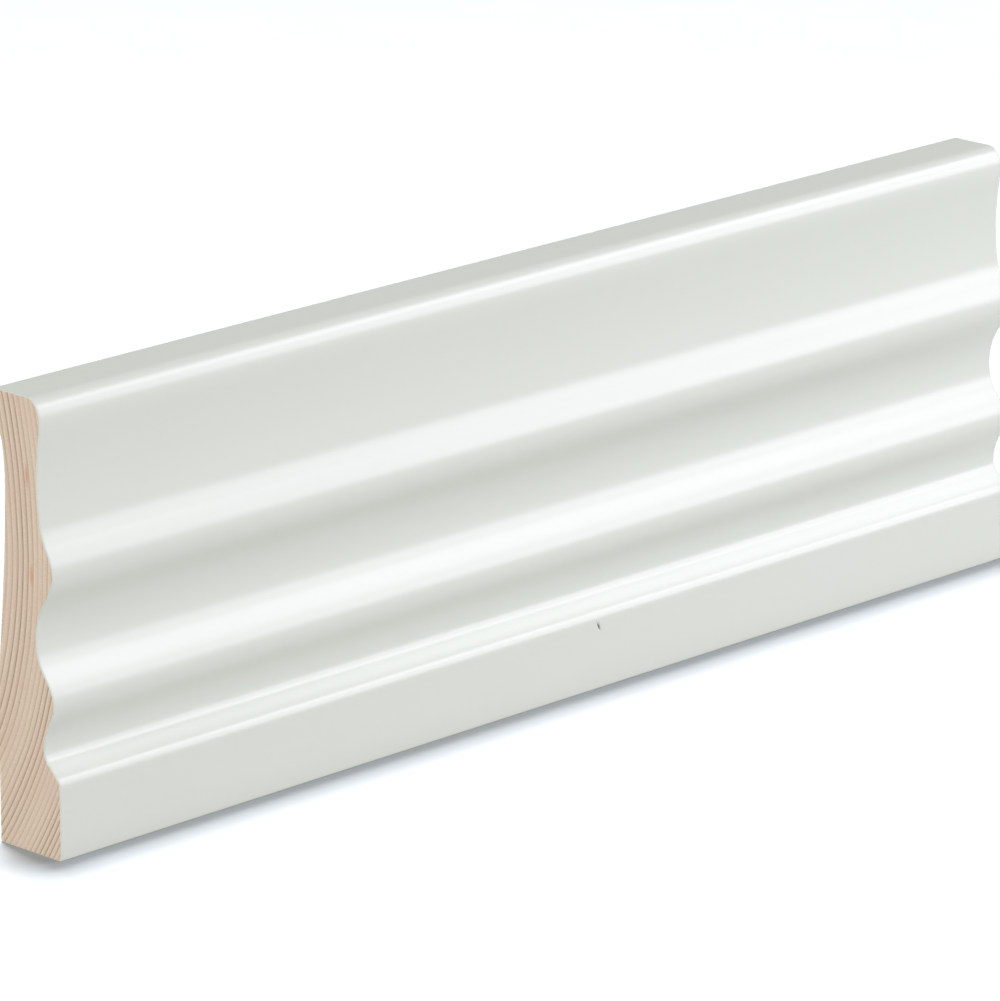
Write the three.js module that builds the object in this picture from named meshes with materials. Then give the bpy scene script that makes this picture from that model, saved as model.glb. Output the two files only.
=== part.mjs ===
// A length of white-painted pine cover strip, standing on its thick edge.
// Millimetres. X runs along the strip, the moulded face looks to -Y, the back to +Y, and Z is up.
import * as THREE from "three";

// Driving sizes
const LENGTH = 290;
const HEIGHT = 95;
const THICKNESS = 18;

// Heights on the face that the shape below is hung from
const BAND_HEIGHT = 15.2;
const QUIRK_HEIGHT = 22.3;
const LOWER_NOSE_HEIGHT = 32.3;
const HOLLOW_HEIGHT = 45.2;
const UPPER_NOSE_HEIGHT = 59.2;
const FACE_HEIGHT = HEIGHT - 18;

// The hollow down the back: its two edges, its deepest line and how deep it is there
const BACK_HOLLOW_FOOT = 33;
const BACK_HOLLOW_DEEPEST = HEIGHT - 18;
const BACK_HOLLOW_HEAD = HEIGHT - 4.5;
const BACK_HOLLOW_DEPTH = 3.2;

// Short straight steps each curve is drawn with
const CURVE_STEPS = 10;

// The moulded face from the top of its plain band to the flat top edge. Each station has the depth cut
// below the front of the blank, the height, and the degrees the face looks up there, down when negative.
const FACE = [
  { cut: 0, up: BAND_HEIGHT, look: 0 },
  { cut: 1.0, up: BAND_HEIGHT + 2.2, look: 48 },
  { cut: 3.5, up: QUIRK_HEIGHT - 2.4, look: 46 },
  { cut: 4.5, up: QUIRK_HEIGHT, look: 0 },
  { cut: 2.9, up: QUIRK_HEIGHT + 5.6, look: -28 },
  { cut: 1.4, up: LOWER_NOSE_HEIGHT, look: 0 },
  { cut: 4.7, up: LOWER_NOSE_HEIGHT + 6.8, look: 34 },
  { cut: 6.3, up: HOLLOW_HEIGHT, look: 0 },
  { cut: 4.4, up: UPPER_NOSE_HEIGHT - 7.2, look: -30 },
  { cut: 1.1, up: UPPER_NOSE_HEIGHT, look: 0 },
  { cut: 3.0, up: UPPER_NOSE_HEIGHT + 5.5, look: 29 },
  { cut: 4.5, up: FACE_HEIGHT - 8, look: 9 },
  { cut: 5.2, up: FACE_HEIGHT, look: 0 },
  { cut: 4.4, up: HEIGHT - 8, look: -9 },
  { cut: 4.1, up: HEIGHT - 4.8, look: 0 },
  { cut: 7.9, up: HEIGHT, look: 90 },
];

// The back hollow from its head down to its foot, as cuts into the back.
const BACK = [
  { cut: 0, up: BACK_HOLLOW_HEAD, look: 34 },
  { cut: BACK_HOLLOW_DEPTH, up: BACK_HOLLOW_DEEPEST, look: 0 },
  { cut: 0, up: BACK_HOLLOW_FOOT, look: -6 },
];

// A station of the face or the back as a point of the section and the unit direction of travel there.
function faceStation({ cut, up, look }) {
  const turn = THREE.MathUtils.degToRad(look);
  return {
    point: new THREE.Vector2(cut - THICKNESS / 2, up),
    heading: new THREE.Vector2(Math.sin(turn), Math.cos(turn)),
  };
}

function backStation({ cut, up, look }) {
  const turn = THREE.MathUtils.degToRad(look);
  return {
    point: new THREE.Vector2(THICKNESS / 2 - cut, up),
    heading: new THREE.Vector2(-Math.sin(turn), -Math.cos(turn)),
  };
}

// Draws on from one station to the next. With these handles an even turn comes out as an arc of a circle.
function curveTo(outline, from, to) {
  const turn = Math.abs(from.heading.angleTo(to.heading));
  const reach = from.point.distanceTo(to.point) / (3 * Math.cos(turn / 4) ** 2);
  const leave = from.point.clone().addScaledVector(from.heading, reach);
  const arrive = to.point.clone().addScaledVector(to.heading, -reach);
  outline.bezierCurveTo(leave.x, leave.y, arrive.x, arrive.y, to.point.x, to.point.y);
}

function section() {
  const face = FACE.map(faceStation);
  const back = BACK.map(backStation);
  const outline = new THREE.Shape();
  outline.moveTo(THICKNESS / 2, 0);
  outline.lineTo(-THICKNESS / 2, 0);
  outline.lineTo(face[0].point.x, face[0].point.y);
  for (let i = 1; i < face.length; i += 1) curveTo(outline, face[i - 1], face[i]);
  outline.lineTo(THICKNESS / 2, HEIGHT);
  outline.lineTo(back[0].point.x, back[0].point.y);
  for (let i = 1; i < back.length; i += 1) curveTo(outline, back[i - 1], back[i]);
  outline.closePath();
  return outline;
}

// The section lies in the YZ plane and is drawn out along X.
function strip() {
  const run = new THREE.ExtrudeGeometry(section(), {
    depth: LENGTH,
    curveSegments: CURVE_STEPS,
    bevelEnabled: false,
  });
  run.translate(0, 0, -LENGTH / 2);
  const alongX = new THREE.Matrix4().makeBasis(
    new THREE.Vector3(0, 1, 0),
    new THREE.Vector3(0, 0, 1),
    new THREE.Vector3(1, 0, 0),
  );
  return run.applyMatrix4(alongX);
}

const paintedPine = new THREE.MeshStandardMaterial({
  color: 0xe4e7e2,
  roughness: 0.35,
  metalness: 0,
});

const coverStrip = new THREE.Mesh(strip(), paintedPine);
coverStrip.name = "cover_strip";

const group = new THREE.Group();
group.add(coverStrip);

export default group;
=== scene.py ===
import math

import bmesh
import bpy
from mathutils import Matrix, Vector, noise


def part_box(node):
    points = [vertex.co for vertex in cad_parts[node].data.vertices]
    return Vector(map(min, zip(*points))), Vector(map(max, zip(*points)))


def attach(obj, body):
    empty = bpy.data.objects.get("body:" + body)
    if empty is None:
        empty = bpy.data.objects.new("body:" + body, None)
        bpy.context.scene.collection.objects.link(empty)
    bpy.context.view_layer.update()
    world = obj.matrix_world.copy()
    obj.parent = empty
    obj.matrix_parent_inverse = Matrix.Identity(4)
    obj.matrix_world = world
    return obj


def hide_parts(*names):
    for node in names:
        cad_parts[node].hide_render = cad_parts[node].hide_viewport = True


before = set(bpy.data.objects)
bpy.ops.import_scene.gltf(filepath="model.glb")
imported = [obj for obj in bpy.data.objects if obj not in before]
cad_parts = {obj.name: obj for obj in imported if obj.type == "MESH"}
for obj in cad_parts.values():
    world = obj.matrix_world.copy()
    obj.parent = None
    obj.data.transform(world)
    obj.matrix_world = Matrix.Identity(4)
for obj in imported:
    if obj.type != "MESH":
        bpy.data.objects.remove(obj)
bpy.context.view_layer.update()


# The cover strip is one length of pine, run through a moulder with shaped cutters on the face and a
# shallow hollow down the back. Its face and edges are then sprayed with satin white paint, the back is
# left bare, and the length is sawn off square, so both ends show the growth rings.

# Sizes are in millimetres, and a pattern's scale is METRE divided by the size of its figure
MM = 0.001
METRE = 1000
strip_low, strip_high = (Vector(corner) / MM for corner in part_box("cover_strip"))
strip_length, _, strip_height = strip_high - strip_low
front, back = strip_low.y, strip_high.y

# Heights that the moulded face is hung from, and the hollow down the back
band_height = 15.2
quirk_height = 22.3
lower_nose_height = 32.3
hollow_height = 45.2
upper_nose_height = 59.2
flat_height = strip_height - 18
back_hollow_foot = 33
back_hollow_deepest = strip_height - 18
back_hollow_head = strip_height - 4.5
back_hollow_depth = 3.2

# Depth cut below the front of the blank, height, and the degrees the surface looks up there
face_stations = [
    (0, band_height, 0),
    (1.0, band_height + 2.2, 48),
    (3.5, quirk_height - 2.4, 46),
    (4.5, quirk_height, 0),
    (2.9, quirk_height + 5.6, -28),
    (1.4, lower_nose_height, 0),
    (4.7, lower_nose_height + 6.8, 34),
    (6.3, hollow_height, 0),
    (4.4, upper_nose_height - 7.2, -30),
    (1.1, upper_nose_height, 0),
    (3.0, upper_nose_height + 5.5, 29),
    (4.5, flat_height - 8, 9),
    (5.2, flat_height, 0),
    (4.4, strip_height - 8, -9),
    (4.1, strip_height - 4.8, 0),
    (7.9, strip_height, 90),
]
back_stations = [
    (0, back_hollow_head, 34),
    (back_hollow_depth, back_hollow_deepest, 0),
    (0, back_hollow_foot, -6),
]
arris_radius = 0.5
curve_steps = 22
arris_steps = 6
flat_step = 0.9
row_step = 10

# What the saw wears off the edge of each end: its depth, with fine bites and a few wider chips, and how far
# along the strip that reaches
saw_wear = 0.15
bite_depth, bite_width = 0.07, 0.9
chip_depth, chip_width, chip_from = 0.35, 3.1, 0.25
wear_reach, wear_ease = 0.14, 0.22

# The one blemish of the face: a small slanting nick near the top of the plain band
nick_place = Vector((10.5, front, 14.0))
nick_lean = math.radians(25)
nick_half_width = 0.32
nick_half_height = 1.15
nick_depth = 0.22
nick_reach = 1.6
nick_step = 0.1
same_place = 1e-6


def on_face(cut, up, look):
    turn = math.radians(look)
    return Vector((front + cut, up)), Vector((math.sin(turn), math.cos(turn)))


def on_back(cut, up, look):
    turn = math.radians(look)
    return Vector((back - cut, up)), Vector((-math.sin(turn), -math.cos(turn)))


def curve(start, end, steps):
    """Points after the start of a cutter's curve. An even turn comes out as an arc of a circle."""
    (p, leaving), (q, arriving) = start, end
    reach = (q - p).length / (3 * math.cos(leaving.angle(arriving) / 4) ** 2)
    a, b = p + leaving * reach, q - arriving * reach
    points = []
    for i in range(1, steps + 1):
        t = i / steps
        s = 1 - t
        points.append(p * s**3 + a * (3 * s * s * t) + b * (3 * s * t * t) + q * t**3)
    return points


def flat(start, end, step):
    """Points after the start of a straight run."""
    count = math.ceil((end - start).length / step)
    return [start.lerp(end, i / count) for i in range(1, count + 1)]


def strip_section():
    """The section as points (y, z) that go up the face and down the back, and where the bare back begins."""
    face = [on_face(*station) for station in face_stations]
    hollow = [on_back(*station) for station in back_stations]
    r = arris_radius
    forward, rearward, upward, downward = Vector((-1, 0)), Vector((1, 0)), Vector((0, 1)), Vector((0, -1))
    under_back = Vector((back - r, 0))
    under_front = Vector((front + r, 0))
    band_foot = Vector((front, r))
    below_nick = Vector((front, nick_place.z - nick_reach))
    top_back = Vector((back - r, strip_height))
    back_top = Vector((back, strip_height - r))
    back_foot = Vector((back, r))
    ring = [under_back]
    ring += flat(under_back, under_front, flat_step)
    ring += curve((under_front, forward), (band_foot, upward), arris_steps)
    ring += flat(band_foot, below_nick, flat_step)
    ring += flat(below_nick, face[0][0], nick_step)
    for start, end in zip(face, face[1:]):
        ring += curve(start, end, curve_steps)
    ring += flat(face[-1][0], top_back, flat_step)
    ring += curve((top_back, rearward), (back_top, downward), arris_steps)
    bare_from = len(ring) - 1
    ring += flat(back_top, hollow[0][0], flat_step)
    creases = [len(ring) - 1]
    for start, end in zip(hollow, hollow[1:]):
        ring += curve(start, end, curve_steps)
    creases.append(len(ring) - 1)
    ring += flat(hollow[-1][0], back_foot, flat_step)
    bare_to = len(ring) - 1
    ring += curve((back_foot, downward), (under_back, forward), arris_steps)[:-1]
    return ring, bare_from, bare_to, creases


def sawn_edge(ring):
    """The section drawn in by what the saw wears off its edge."""
    drawn = []
    for i, point in enumerate(ring):
        along = (ring[(i + 1) % len(ring)] - ring[i - 1]).normalized()
        inward = Vector((along.y, -along.x))
        bite = noise.noise((point / bite_width).to_3d())
        chip = max(0, noise.noise((point / chip_width).to_3d()) - chip_from)
        drawn.append(point + inward * (saw_wear + bite_depth * bite + chip_depth * chip))
    return drawn


def stations_along():
    """Places along the strip that need a row of points: even steps, closer at the nick and at the ends."""
    worn = strip_length / 2 - wear_reach
    sound = worn - wear_ease
    plain_steps = math.ceil(2 * sound / row_step)
    nick_steps = math.ceil(2 * nick_reach / nick_step)
    rows = [sound * (2 * i / plain_steps - 1) for i in range(plain_steps + 1)]
    rows = [x for x in rows if abs(x - nick_place.x) > nick_reach]
    rows += [nick_place.x + nick_reach * (2 * i / nick_steps - 1) for i in range(nick_steps + 1)]
    return [-worn, *sorted(rows), worn]


def nick_shape(x, z):
    """How much of the nick is at a place on the band, from 0 to 1."""
    side, up = x - nick_place.x, z - nick_place.z
    across = (side * math.cos(nick_lean) + up * math.sin(nick_lean)) / nick_half_width
    along = (up * math.cos(nick_lean) - side * math.sin(nick_lean)) / nick_half_height
    return math.exp(-(across**2) - along**4)


PAINTED, SAWN, PLANED = range(3)
ring, bare_from, bare_to, creases = strip_section()
edge_ring = sawn_edge(ring)
strip_mesh = bpy.data.meshes.new("moulded_strip")
bm = bmesh.new()
rows = []
for x in [strip_low.x, *stations_along(), strip_high.x]:
    outline = edge_ring if x in (strip_low.x, strip_high.x) else ring
    row = []
    for y, z in outline:
        on_band = abs(y - front) < same_place and abs(x - nick_place.x) < nick_reach
        dent = nick_depth * nick_shape(x, z) if on_band else 0
        row.append(bm.verts.new(Vector((x, y + dent, z)) * MM))
    rows.append(row)
for near, far in zip(rows, rows[1:]):
    for i in range(len(ring)):
        j = (i + 1) % len(ring)
        face = bm.faces.new((near[i], far[i], far[j], near[j]))
        face.smooth = True
        face.material_index = PLANED if bare_from <= i < bare_to else PAINTED
        if i in creases:
            bm.edges.get((near[i], far[i])).smooth = False
for cap in (list(reversed(rows[0])), rows[-1]):
    bm.faces.new(cap).material_index = SAWN
bmesh.ops.recalc_face_normals(bm, faces=bm.faces)
bm.to_mesh(strip_mesh)
bm.free()
moulded_strip = bpy.data.objects.new("moulded_strip", strip_mesh)
bpy.context.scene.collection.objects.link(moulded_strip)


def colour(text):
    """A linear colour from its sRGB hex value."""
    parts = [int(text[i : i + 2], 16) / 255 for i in (0, 2, 4)]
    return [c / 12.92 if c <= 0.04045 else ((c + 0.055) / 1.055) ** 2.4 for c in parts] + [1.0]


def add(tree, kind, sockets=None, stops=None, **settings):
    """Adds a node with its settings, its socket values or links, and its colour stops."""
    made = tree.nodes.new(kind)
    for name, value in settings.items():
        setattr(made, name, value)
    for name, value in (sockets or {}).items():
        if isinstance(value, bpy.types.NodeSocket):
            tree.links.new(value, made.inputs[name])
        else:
            made.inputs[name].default_value = value
    for i, (place, shade) in enumerate(stops or []):
        ramp = made.color_ramp.elements
        stop = ramp[i] if i < 2 else ramp.new(place)
        stop.position = place
        stop.color = shade
    return made


def new_finish(name):
    """A material with an empty tree, and the place on the piece that its patterns follow, in metres."""
    finish = bpy.data.materials.new(name)
    finish.use_nodes = True
    finish.node_tree.nodes.clear()
    place = add(finish.node_tree, "ShaderNodeTexCoord").outputs["Object"]
    return finish, finish.node_tree, place


def grey(level):
    return (level, level, level, 1.0)


# Satin acrylic paint, sprayed on planed pine: an even greenish white with a soft gleam that varies in
# broad clouds. The grain below is a very faint relief of long streaks, and the spray a finer one.
streak_length, streak_width = 90, 1.4
spray_grain = 0.7
cloud_width = 55
paint, tree, place = new_finish("satin_paint_on_planed_pine")
along_grain = add(tree, "ShaderNodeVectorMath", {
    0: place,
    1: (METRE / streak_length, METRE / streak_width, METRE / streak_width),
}, operation="MULTIPLY").outputs["Vector"]
streaks = add(tree, "ShaderNodeTexNoise", {
    "Vector": along_grain, "Scale": 1.0, "Detail": 3.0, "Roughness": 0.55,
}).outputs["Fac"]
spray = add(tree, "ShaderNodeTexNoise", {
    "Vector": place, "Scale": METRE / spray_grain, "Detail": 2.0,
}).outputs["Fac"]
cloud = add(tree, "ShaderNodeTexNoise", {
    "Vector": place, "Scale": METRE / cloud_width, "Detail": 2.0,
}).outputs["Fac"]
white = add(tree, "ShaderNodeValToRGB", {"Fac": streaks}, stops=[
    (0.3, colour("E1E5DB")), (0.7, colour("E2E6DC")),
]).outputs["Color"]
clouded = add(tree, "ShaderNodeMix", {
    "Factor": cloud, 6: white, 7: colour("E2E5DE"),
}, data_type="RGBA").outputs[2]
# The nick is a real dent in the mesh, and it is also darkened in colour. A dark grey is mixed into the paint
# there: partly dirt in the dent, partly painted shade in the dent.
from_nick = add(tree, "ShaderNodeVectorMath", {0: place, 1: nick_place * MM}, operation="SUBTRACT")
turned = add(tree, "ShaderNodeVectorRotate", {
    "Vector": from_nick.outputs["Vector"], "Angle": nick_lean,
}, rotation_type="Y_AXIS").outputs["Vector"]
in_nick = add(tree, "ShaderNodeVectorMath", {
    0: turned,
    1: (METRE / nick_half_width, 0, METRE / nick_half_height),
}, operation="MULTIPLY").outputs["Vector"]
nick_radius = add(tree, "ShaderNodeVectorMath", {0: in_nick}, operation="LENGTH").outputs["Value"]
nick_dirt_and_shade = add(tree, "ShaderNodeMapRange", {
    "Value": nick_radius, "From Min": 0.35, "From Max": 1.1, "To Min": 1.0, "To Max": 0.0,
}, interpolation_type="SMOOTHSTEP").outputs["Result"]
painted_colour = add(tree, "ShaderNodeMix", {
    "Factor": nick_dirt_and_shade, 6: clouded, 7: colour("6E716A"),
}, data_type="RGBA").outputs[2]
gleam = add(tree, "ShaderNodeMapRange", {
    "Value": cloud, "From Min": 0.3, "From Max": 0.7, "To Min": 0.277, "To Max": 0.291,
}).outputs["Result"]
streak_bump = add(tree, "ShaderNodeBump", {
    "Height": streaks, "Strength": 0.2, "Distance": 0.03 * MM,
}).outputs["Normal"]
spray_bump = add(tree, "ShaderNodeBump", {
    "Height": spray, "Strength": 0.2, "Distance": 0.01 * MM, "Normal": streak_bump,
}).outputs["Normal"]
shader = add(tree, "ShaderNodeBsdfPrincipled", {
    "Base Color": painted_colour, "Roughness": gleam, "IOR": 1.5, "Normal": spray_bump,
})
add(tree, "ShaderNodeOutputMaterial", {"Surface": shader.outputs["BSDF"]})


# The growth rings are one solid figure through the whole length, seen as arcs on the ends and as long
# flames on the back. They lie round a heart that was behind the strip, above its middle.
heart_of_tree = Vector((0, 108.0, 66.5))
first_ring_radius = 101.0
rings_per_mm = 0.554
rings_closing = 0.00565
dense_years_every = 11.2
dense_years_begin = 6.4
ring_wander = 2.0
wander_length, wander_width = 150, 60
stem_taper = 0.012


def summer_wood(tree, place):
    """How dark the wood is at a place, from 0 in pale spring wood to 1 in a dense summer line."""
    slow = add(tree, "ShaderNodeVectorMath", {
        0: place,
        1: (METRE / wander_length, METRE / wander_width, METRE / wander_width),
    }, operation="MULTIPLY")
    wander = add(tree, "ShaderNodeTexNoise", {
        "Vector": slow.outputs["Vector"], "Scale": 1.0, "Detail": 2.0,
    })
    from_heart = add(tree, "ShaderNodeVectorMath", {
        0: place, 1: heart_of_tree * MM,
    }, operation="SUBTRACT")
    across = add(tree, "ShaderNodeVectorMath", {
        0: from_heart.outputs["Vector"], 1: (0, METRE, METRE),
    }, operation="MULTIPLY").outputs["Vector"]
    radius = add(tree, "ShaderNodeVectorMath", {0: across}, operation="LENGTH").outputs["Value"]
    x = add(tree, "ShaderNodeSeparateXYZ", {"Vector": place}).outputs["X"]
    leaning = add(tree, "ShaderNodeMath", {
        0: x, 1: METRE * stem_taper, 2: radius,
    }, operation="MULTIPLY_ADD")
    wandering = add(tree, "ShaderNodeMath", {
        0: wander.outputs["Fac"], 1: 2 * ring_wander, 2: leaning.outputs["Value"],
    }, operation="MULTIPLY_ADD").outputs["Value"]
    outward = add(tree, "ShaderNodeMath", {
        0: wandering, 1: first_ring_radius + ring_wander - stem_taper * strip_length / 2,
    }, operation="SUBTRACT").outputs["Value"]
    rate = add(tree, "ShaderNodeMath", {
        0: outward, 1: rings_closing, 2: rings_per_mm,
    }, operation="MULTIPLY_ADD").outputs["Value"]
    years = add(tree, "ShaderNodeMath", {0: outward, 1: rate}, operation="MULTIPLY").outputs["Value"]
    season = add(tree, "ShaderNodeMath", {0: years}, operation="FRACT").outputs["Value"]
    line = add(tree, "ShaderNodeValToRGB", {"Fac": season}, stops=[
        (0.0, grey(0.0)),
        (1.0, grey(0.0)),
        (0.2, grey(0.04)),
        (0.5, grey(0.22)),
        (0.72, grey(0.5)),
        (0.85, grey(1.0)),
        (0.93, grey(0.9)),
    ]).outputs["Color"]
    turn = add(tree, "ShaderNodeMath", {
        0: outward,
        1: 2 * math.pi / dense_years_every,
        2: -2 * math.pi * dense_years_begin / dense_years_every,
    }, operation="MULTIPLY_ADD").outputs["Value"]
    wave = add(tree, "ShaderNodeMath", {0: turn}, operation="COSINE").outputs["Value"]
    strength = add(tree, "ShaderNodeMapRange", {
        "Value": wave, "From Min": -1.0, "From Max": 1.0, "To Min": 0.36, "To Max": 1.0,
    }).outputs["Result"]
    return add(tree, "ShaderNodeMath", {0: line, 1: strength}, operation="MULTIPLY").outputs["Value"]


fibre_length, fibre_width = 22, 0.3


def fibres(tree, place):
    """Bundles of fibre along the length: fine specks on an end, long hair lines on the back."""
    thin = add(tree, "ShaderNodeVectorMath", {
        0: place,
        1: (METRE / fibre_length, METRE / fibre_width, METRE / fibre_width),
    }, operation="MULTIPLY")
    return add(tree, "ShaderNodeTexNoise", {
        "Vector": thin.outputs["Vector"], "Scale": 1.0, "Detail": 3.0, "Roughness": 0.6,
    }).outputs["Fac"]


# Sawn pine end grain: dull pinkish buff with brown ring lines, a few resin streaks that show reddish, and
# the faint scores of a fine saw.
resin_streaks = [(-0.9, 78.9), (-1.8, 58.4)]
resin_length, resin_width, resin_height = 60, 0.7, 3.0
blush_width = 9
saw_pitch = 0.9
# A wave texture turns 20 radians in each unit, so this is its scale for one wave in each millimetre
wave_each_mm = 2 * math.pi * METRE / 20
end_grain, tree, place = new_finish("fine_sawn_pine_end_grain")
dark = summer_wood(tree, place)
specks = fibres(tree, place)
wood = add(tree, "ShaderNodeMix", {
    "Factor": dark, 6: colour("E5D3BF"), 7: colour("AA8E75"),
}, data_type="RGBA").outputs[2]
blush = add(tree, "ShaderNodeTexNoise", {
    "Vector": place, "Scale": METRE / blush_width, "Detail": 2.0,
}).outputs["Fac"]
wood = add(tree, "ShaderNodeMix", {
    "Factor": add(tree, "ShaderNodeMapRange", {
        "Value": blush, "From Min": 0.4, "From Max": 0.75, "To Min": 0.0, "To Max": 0.4,
    }).outputs["Result"],
    6: wood,
    7: colour("DCBFB0"),
}, data_type="RGBA").outputs[2]
for y, z in resin_streaks:
    away = add(tree, "ShaderNodeVectorMath", {
        0: place, 1: Vector((strip_low.x, y, z)) * MM,
    }, operation="SUBTRACT")
    shaped = add(tree, "ShaderNodeVectorMath", {
        0: away.outputs["Vector"],
        1: (METRE / resin_length, METRE / resin_width, METRE / resin_height),
    }, operation="MULTIPLY")
    near = add(tree, "ShaderNodeVectorMath", {0: shaped.outputs["Vector"]}, operation="LENGTH")
    wood = add(tree, "ShaderNodeMix", {
        "Factor": add(tree, "ShaderNodeMapRange", {
            "Value": near.outputs["Value"], "From Min": 0.2, "From Max": 1.0, "To Min": 0.7, "To Max": 0.0,
        }).outputs["Result"],
        6: wood,
        7: colour("D29B7D"),
    }, data_type="RGBA").outputs[2]
speckled = add(tree, "ShaderNodeValToRGB", {"Fac": specks}, stops=[
    (0.3, grey(0.86)), (0.7, grey(1.0)),
])
wood = add(tree, "ShaderNodeMix", {
    "Factor": 1.0, 6: wood, 7: speckled.outputs["Color"],
}, data_type="RGBA", blend_type="MULTIPLY").outputs[2]
scored = add(tree, "ShaderNodeTexWave", {
    "Vector": place, "Scale": wave_each_mm / saw_pitch, "Distortion": 1.5, "Detail": 2.0,
}, bands_direction="Z").outputs["Fac"]
ring_bump = add(tree, "ShaderNodeBump", {
    "Height": dark, "Strength": 0.4, "Distance": 0.05 * MM,
}).outputs["Normal"]
speck_bump = add(tree, "ShaderNodeBump", {
    "Height": specks, "Strength": 0.35, "Distance": 0.04 * MM, "Normal": ring_bump,
}).outputs["Normal"]
score_bump = add(tree, "ShaderNodeBump", {
    "Height": scored, "Strength": 0.25, "Distance": 0.03 * MM, "Normal": speck_bump,
}).outputs["Normal"]
shader = add(tree, "ShaderNodeBsdfPrincipled", {
    "Base Color": wood, "Roughness": 0.78, "IOR": 1.5, "Specular IOR Level": 0.3, "Normal": score_bump,
})
add(tree, "ShaderNodeOutputMaterial", {"Surface": shader.outputs["BSDF"]})


# Planed bare pine on the back: pale yellow flames with fine hair lines and short brown resin ducts, a low
# sheen, the ripple of the planer knives across it, and paint that crept round the two edges.
knife_pitch = 1.8
paint_creep = 1.6
creep_width = 6
creep_begins, creep_covers = 0.5, 0.1
duct_length, duct_gap = 9, 0.9
bare_pine, tree, place = new_finish("planed_bare_pine")
dark = summer_wood(tree, place)
hairs = fibres(tree, place)
wood = add(tree, "ShaderNodeMix", {
    "Factor": dark, 6: colour("E3CDB0"), 7: colour("B98F66"),
}, data_type="RGBA").outputs[2]
hair_shade = add(tree, "ShaderNodeValToRGB", {"Fac": hairs}, stops=[
    (0.3, grey(0.84)), (0.65, grey(1.0)),
])
wood = add(tree, "ShaderNodeMix", {
    "Factor": 1.0, 6: wood, 7: hair_shade.outputs["Color"],
}, data_type="RGBA", blend_type="MULTIPLY").outputs[2]
duct_space = add(tree, "ShaderNodeVectorMath", {
    0: place,
    1: (METRE / duct_length, METRE / duct_gap, METRE / duct_gap),
}, operation="MULTIPLY").outputs["Vector"]
ducts = add(tree, "ShaderNodeTexVoronoi", {"Vector": duct_space, "Scale": 1.0}).outputs["Distance"]
duct_mask = add(tree, "ShaderNodeMapRange", {
    "Value": ducts, "From Min": 0.08, "From Max": 0.2, "To Min": 0.55, "To Max": 0.0,
}).outputs["Result"]
wood = add(tree, "ShaderNodeMix", {
    "Factor": duct_mask, 6: wood, 7: colour("9A7048"),
}, data_type="RGBA").outputs[2]
height = add(tree, "ShaderNodeSeparateXYZ", {"Vector": place}).outputs["Z"]
from_middle = add(tree, "ShaderNodeMath", {
    0: height, 1: strip_height / 2 * MM,
}, operation="SUBTRACT").outputs["Value"]
to_edge = add(tree, "ShaderNodeMath", {0: from_middle}, operation="ABSOLUTE").outputs["Value"]
creep_noise = add(tree, "ShaderNodeTexNoise", {
    "Vector": place, "Scale": METRE / creep_width, "Detail": 3.0,
}).outputs["Fac"]
crept = add(tree, "ShaderNodeMath", {
    0: creep_noise, 1: paint_creep * MM, 2: to_edge,
}, operation="MULTIPLY_ADD")
creep_mask = add(tree, "ShaderNodeMapRange", {
    "Value": crept.outputs["Value"],
    "From Min": (strip_height / 2 - creep_begins) * MM,
    "From Max": (strip_height / 2 - creep_covers) * MM,
}).outputs["Result"]
wood = add(tree, "ShaderNodeMix", {
    "Factor": creep_mask, 6: wood, 7: colour("DADED4"),
}, data_type="RGBA").outputs[2]
ripple = add(tree, "ShaderNodeTexWave", {
    "Vector": place, "Scale": wave_each_mm / knife_pitch, "Distortion": 0.4,
}, bands_direction="X").outputs["Fac"]
ring_bump = add(tree, "ShaderNodeBump", {
    "Height": dark, "Strength": 0.3, "Distance": 0.04 * MM,
}).outputs["Normal"]
hair_bump = add(tree, "ShaderNodeBump", {
    "Height": hairs, "Strength": 0.3, "Distance": 0.04 * MM, "Normal": ring_bump,
}).outputs["Normal"]
ripple_bump = add(tree, "ShaderNodeBump", {
    "Height": ripple, "Strength": 0.12, "Distance": 0.03 * MM, "Normal": hair_bump,
}).outputs["Normal"]
sheen = add(tree, "ShaderNodeMapRange", {
    "Value": dark, "To Min": 0.62, "To Max": 0.48,
}).outputs["Result"]
shader = add(tree, "ShaderNodeBsdfPrincipled", {
    "Base Color": wood, "Roughness": sheen, "IOR": 1.5, "Specular IOR Level": 0.35, "Normal": ripple_bump,
})
add(tree, "ShaderNodeOutputMaterial", {"Surface": shader.outputs["BSDF"]})

for finish in (paint, end_grain, bare_pine):
    strip_mesh.materials.append(finish)
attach(moulded_strip, "root")
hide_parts("cover_strip")


# The floor is a wide sheet of matt white card, and the strip stands on it by its thick edge. The card is
# kept out of diffuse bounce, so that it doesn't brighten the face from below.
floor_half = 6.0
floor_corners = [(-1, -1), (1, -1), (1, 1), (-1, 1)]
floor_mesh = bpy.data.meshes.new("studio_floor")
floor_mesh.from_pydata([(x * floor_half, y * floor_half, 0) for x, y in floor_corners], [], [(0, 1, 2, 3)])
studio_floor = bpy.data.objects.new("studio_floor", floor_mesh)
bpy.context.scene.collection.objects.link(studio_floor)

# Matt white card: bright and cool, without gloss, very slightly mottled.
mottle_width = 40
card, tree, place = new_finish("matt_white_card")
mottle = add(tree, "ShaderNodeTexNoise", {
    "Vector": place, "Scale": METRE / mottle_width, "Detail": 2.0,
}).outputs["Fac"]
card_colour = add(tree, "ShaderNodeValToRGB", {"Fac": mottle}, stops=[
    (0.3, colour("A9ADB0")), (0.7, colour("ABAFB2")),
]).outputs["Color"]
shader = add(tree, "ShaderNodeBsdfPrincipled", {
    "Base Color": card_colour, "Roughness": 0.95, "Specular IOR Level": 0.0,
})
add(tree, "ShaderNodeOutputMaterial", {"Surface": shader.outputs["BSDF"]})
floor_mesh.materials.append(card)
studio_floor.visible_diffuse = False


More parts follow.
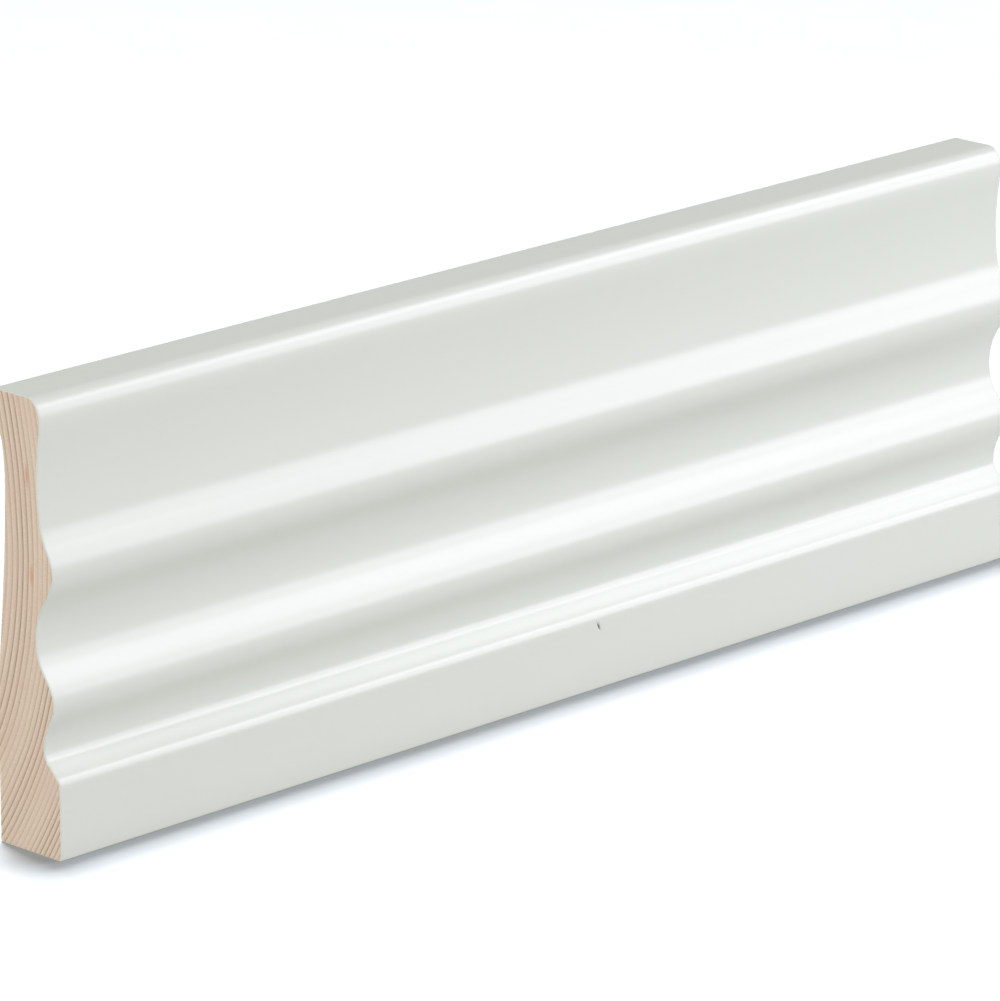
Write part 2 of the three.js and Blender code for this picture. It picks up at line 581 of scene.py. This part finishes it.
# The studio light: two cool panels to the right, which the satin paint shows as soft bands, a box in front,
# low ones for the sawn end and the bare back, and a narrow one above that shines on the floor alone, for a
# close soft shadow.
strip_middle = Vector((0, 0, strip_height / 2 * MM))


def soft_box(name, bearing, height, distance, width, tall, watts, tint):
    """A soft light aimed at the strip, from a bearing in degrees from +X and a height in degrees."""
    turn, rise = math.radians(bearing), math.radians(height)
    toward = Vector((math.cos(turn) * math.cos(rise), math.sin(turn) * math.cos(rise), math.sin(rise)))
    lamp = bpy.data.lights.new(name, "AREA")
    lamp.shape = "RECTANGLE"
    lamp.size = width
    lamp.size_y = tall
    lamp.energy = watts
    lamp.color = colour(tint)[:3]
    box = bpy.data.objects.new(name, lamp)
    box.location = strip_middle + toward * distance
    box.rotation_euler = (-toward).to_track_quat("-Z", "Y").to_euler()
    bpy.context.scene.collection.objects.link(box)
    return box


soft_box("upper_panel", 325, 34.5, 1.7, 0.93, 0.51, 10.2, "F1F2FF")
soft_box("lower_panel", 320, 14, 1.7, 0.93, 0.55, 8.6, "F1F2FF")
soft_box("front_box", 215, 45, 2.2, 1.2, 1.2, 6.8, "FFFFFF")
soft_box("end_box", 182, 22, 2.2, 0.9, 0.9, 15, "FFFFFF")
soft_box("back_box", 95, 12, 2.2, 0.9, 0.9, 11, "FFFFFF")
floor_box = soft_box("floor_box", 80, 84.1, 2.2, 0.26, 0.26, 92, "FFFFFF")
lit_floor = bpy.data.collections.new("lit_floor")
lit_floor.objects.link(studio_floor)
floor_box.light_linking.receiver_collection = lit_floor

# The room round it is pale, and brighter below than above: light that a floor would send back up comes from
# the room below the strip instead of from the card.
room_below, room_above = 0.83, 0.34
room = bpy.data.worlds.new("pale_room")
room.use_nodes = True
tree = room.node_tree
tree.nodes.clear()
outlook = add(tree, "ShaderNodeTexCoord").outputs["Generated"]
rise = add(tree, "ShaderNodeSeparateXYZ", {"Vector": outlook}).outputs["Z"]
level = add(tree, "ShaderNodeMapRange", {
    "Value": rise, "From Min": -1.0, "From Max": 1.0, "To Min": room_below, "To Max": room_above,
}).outputs["Result"]
walls = add(tree, "ShaderNodeBackground", {"Color": colour("F7F6F2"), "Strength": level})
add(tree, "ShaderNodeOutputWorld", {"Surface": walls.outputs["Background"]})
bpy.context.scene.world = room
bpy.context.scene.view_settings.view_transform = "Standard"


# The camera stands to the left of the strip and a little above it, with a long lens. Its place is in metres,
# and it was fitted to the strip's own edges.
camera_place = (-1.0480, -1.0153, 0.4794)
camera_down = math.radians(16.669)
camera_turn = math.radians(45.617)
lens = bpy.data.cameras.new("camera")
lens.lens = 257.6
lens.sensor_width = 36
camera = bpy.data.objects.new("camera", lens)
camera.location = camera_place
camera.rotation_euler = (math.pi / 2 - camera_down, 0, -camera_turn)
bpy.context.scene.collection.objects.link(camera)
bpy.context.scene.camera = camera
